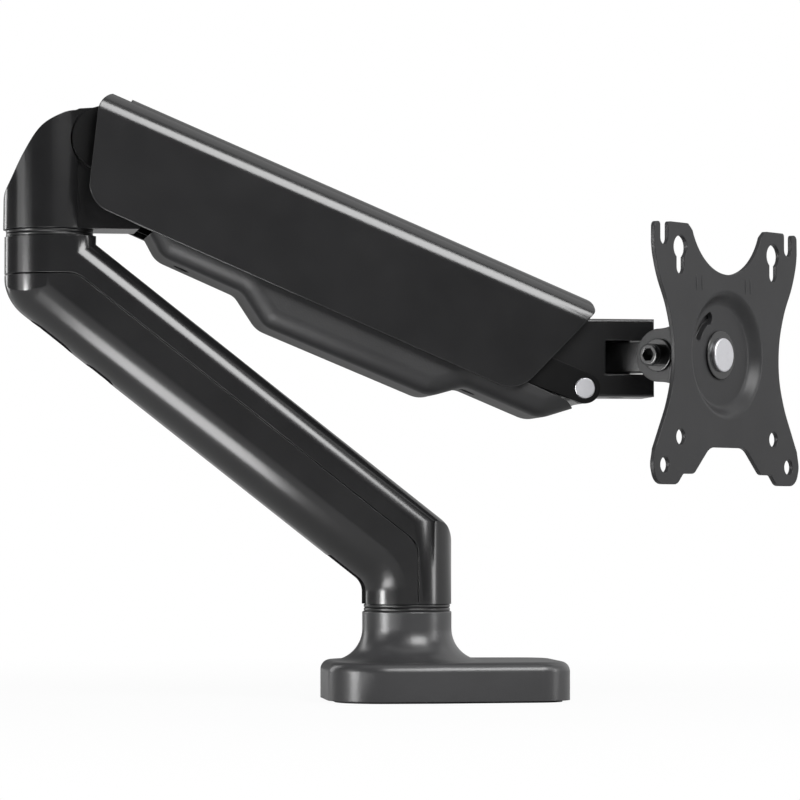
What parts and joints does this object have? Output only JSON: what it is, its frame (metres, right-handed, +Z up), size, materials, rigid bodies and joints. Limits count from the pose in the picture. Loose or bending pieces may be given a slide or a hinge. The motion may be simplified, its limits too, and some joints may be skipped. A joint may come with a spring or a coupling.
{
  "type": "monitor arm",
  "caption": "Folding desk monitor arm: swivelling bent lower arm, sprung parallelogram upper arm and a pressed screen plate that pans, tilts and turns.",
  "frame": {"origin": "on the desk, under the base swivel axis", "axes": "+Z up, +X the way the screen plate faces; the folded arm runs in one upright plane 47 degrees from +X"},
  "size_m": [0.2597, 0.2688, 0.2717],
  "materials": {
    "base_paint": "satin black powder coat",
    "arm_paint": "satin black powder coat",
    "link_paint": "black paint",
    "head_paint": "smooth satin black paint",
    "plate_coat": "fine grey-black coat on pressed steel",
    "cable_plastic": "satin black moulding",
    "hood_plastic": "satin black moulding",
    "tray_plastic": "fine-grained black moulding",
    "cap_plastic": "satin black moulding",
    "washer_plastic": "plain black sliding plastic",
    "pad_rubber": "matt black foam rubber",
    "bush_bronze": "turned bronze",
    "plain_steel": "plain turned steel",
    "bright_steel": "bright plated steel",
    "black_steel": "black oxide steel",
    "spring_enamel": "black enamel on drawn tube"
  },
  "bodies": {
    "base": {"base_shell": "base_paint", "foot_plate": "link_paint", "desk_pad": "pad_rubber", "end_cap": "cap_plastic", "swivel_post": "plain_steel", "post_screw": "plain_steel", "base_washer": "washer_plastic"},
    "lower_arm": {"lower_arm_casting": "arm_paint", "cable_cover": "cable_plastic", "swivel_bush": "bush_bronze", "stub_washer": "washer_plastic", "elbow_post": "plain_steel", "elbow_washer_low": "washer_plastic"},
    "elbow": {"elbow_housing": "arm_paint", "elbow_bush": "bush_bronze", "elbow_washer_high": "washer_plastic", "tension_screw": "plain_steel", "tension_nut": "bush_bronze", "elbow_upper_pin": "plain_steel", "elbow_lower_pin": "plain_steel", "elbow_spacer_near": "plain_steel", "elbow_spacer_far": "plain_steel", "spring_rear_pin": "plain_steel"},
    "upper_arm": {"upper_link": "link_paint", "upper_cover": "hood_plastic", "cover_screw_rear": "plain_steel", "cover_screw_front": "plain_steel"},
    "lower_bar": {"lower_link": "link_paint", "underside_tray": "tray_plastic", "tray_screw_rear": "plain_steel", "tray_screw_front": "plain_steel"},
    "head": {"head_block": "head_paint", "head_upper_pin": "plain_steel", "head_lower_pin": "bright_steel", "head_spacer_near": "plain_steel", "head_spacer_far": "plain_steel", "pan_pin": "plain_steel", "pan_washer_low": "washer_plastic", "pan_washer_high": "washer_plastic"},
    "spring_body": {"spring_barrel": "spring_enamel"},
    "spring_stem": {"spring_rod": "bright_steel", "spring_front_pin": "plain_steel"},
    "pan_knuckle": {"knuckle": "head_paint"},
    "tilt_frame": {"tilt_bracket": "plate_coat", "tilt_washer_near": "black_steel", "tilt_washer_far": "black_steel", "tilt_shim_near": "washer_plastic", "tilt_shim_far": "washer_plastic", "tilt_bolt": "black_steel", "tilt_nut": "black_steel", "pivot_bolt": "plain_steel", "centre_cap": "bright_steel", "friction_washer": "washer_plastic"},
    "plate": {"screen_plate": "plate_coat", "plate_washer": "black_steel"}
  },
  "joints": [
    {"name": "base_swivel", "type": "hinge", "parent": "base", "child": "lower_arm", "pos_m": [0, 0, 0.0422], "axis": [0, 0, 1], "range_deg": [-180, 180]},
    {"name": "elbow_swivel", "type": "hinge", "parent": "lower_arm", "child": "elbow", "pos_m": [-0.11089, -0.11892, 0.2104], "axis": [0, 0, 1], "range_deg": [-180, 180]},
    {"name": "arm_lift", "type": "hinge", "parent": "elbow", "child": "upper_arm", "pos_m": [-0.095, -0.10188, 0.2522], "axis": [0.7314, -0.682, 0], "range_deg": [-6, 55]},
    {"name": "lower_bar_swing", "type": "hinge", "parent": "elbow", "child": "lower_bar", "pos_m": [-0.08682, -0.0931, 0.2262], "axis": [0.7314, -0.682, 0], "range_deg": [-7, 56]},
    {"name": "head_level", "type": "hinge", "parent": "upper_arm", "child": "head", "pos_m": [0.04527, 0.04855, 0.16759], "axis": [0.7314, -0.682, 0], "range_deg": [-56, 7]},
    {"name": "spring_swing", "type": "hinge", "parent": "elbow", "child": "spring_body", "pos_m": [-0.08716, -0.09347, 0.2396], "axis": [0.7314, -0.682, 0], "range_deg": [-7.38, 59.52]},
    {"name": "spring_stroke", "type": "slide", "parent": "spring_body", "child": "spring_stem", "axis": [0.6359, 0.682, -0.3612], "range_m": [-0.00184, 0.01279]},
    {"name": "pan", "type": "hinge", "parent": "head", "child": "pan_knuckle", "pos_m": [0.06604, 0.07082, 0.15599], "axis": [0, 0, 1], "range_deg": [-33, 127]},
    {"name": "tilt", "type": "hinge", "parent": "pan_knuckle", "child": "tilt_frame", "pos_m": [0.10204, 0.07082, 0.15599], "axis": [0, 1, 0], "range_deg": [-30, 30]},
    {"name": "plate_turn", "type": "hinge", "parent": "tilt_frame", "child": "plate", "pos_m": [0.12804, 0.07082, 0.15599], "axis": [1, 0, 0], "range_deg": [-90, 90]}
  ],
  "couplings": [
    {"joint": "lower_bar_swing", "follows": "arm_lift", "ratio": 1},
    {"joint": "head_level", "follows": "arm_lift", "ratio": -1},
    {"joint": "spring_swing", "follows": "arm_lift", "ratio": 1.064},
    {"joint": "spring_stroke", "follows": "arm_lift", "m_per_rad": 0.0128}
  ]
}
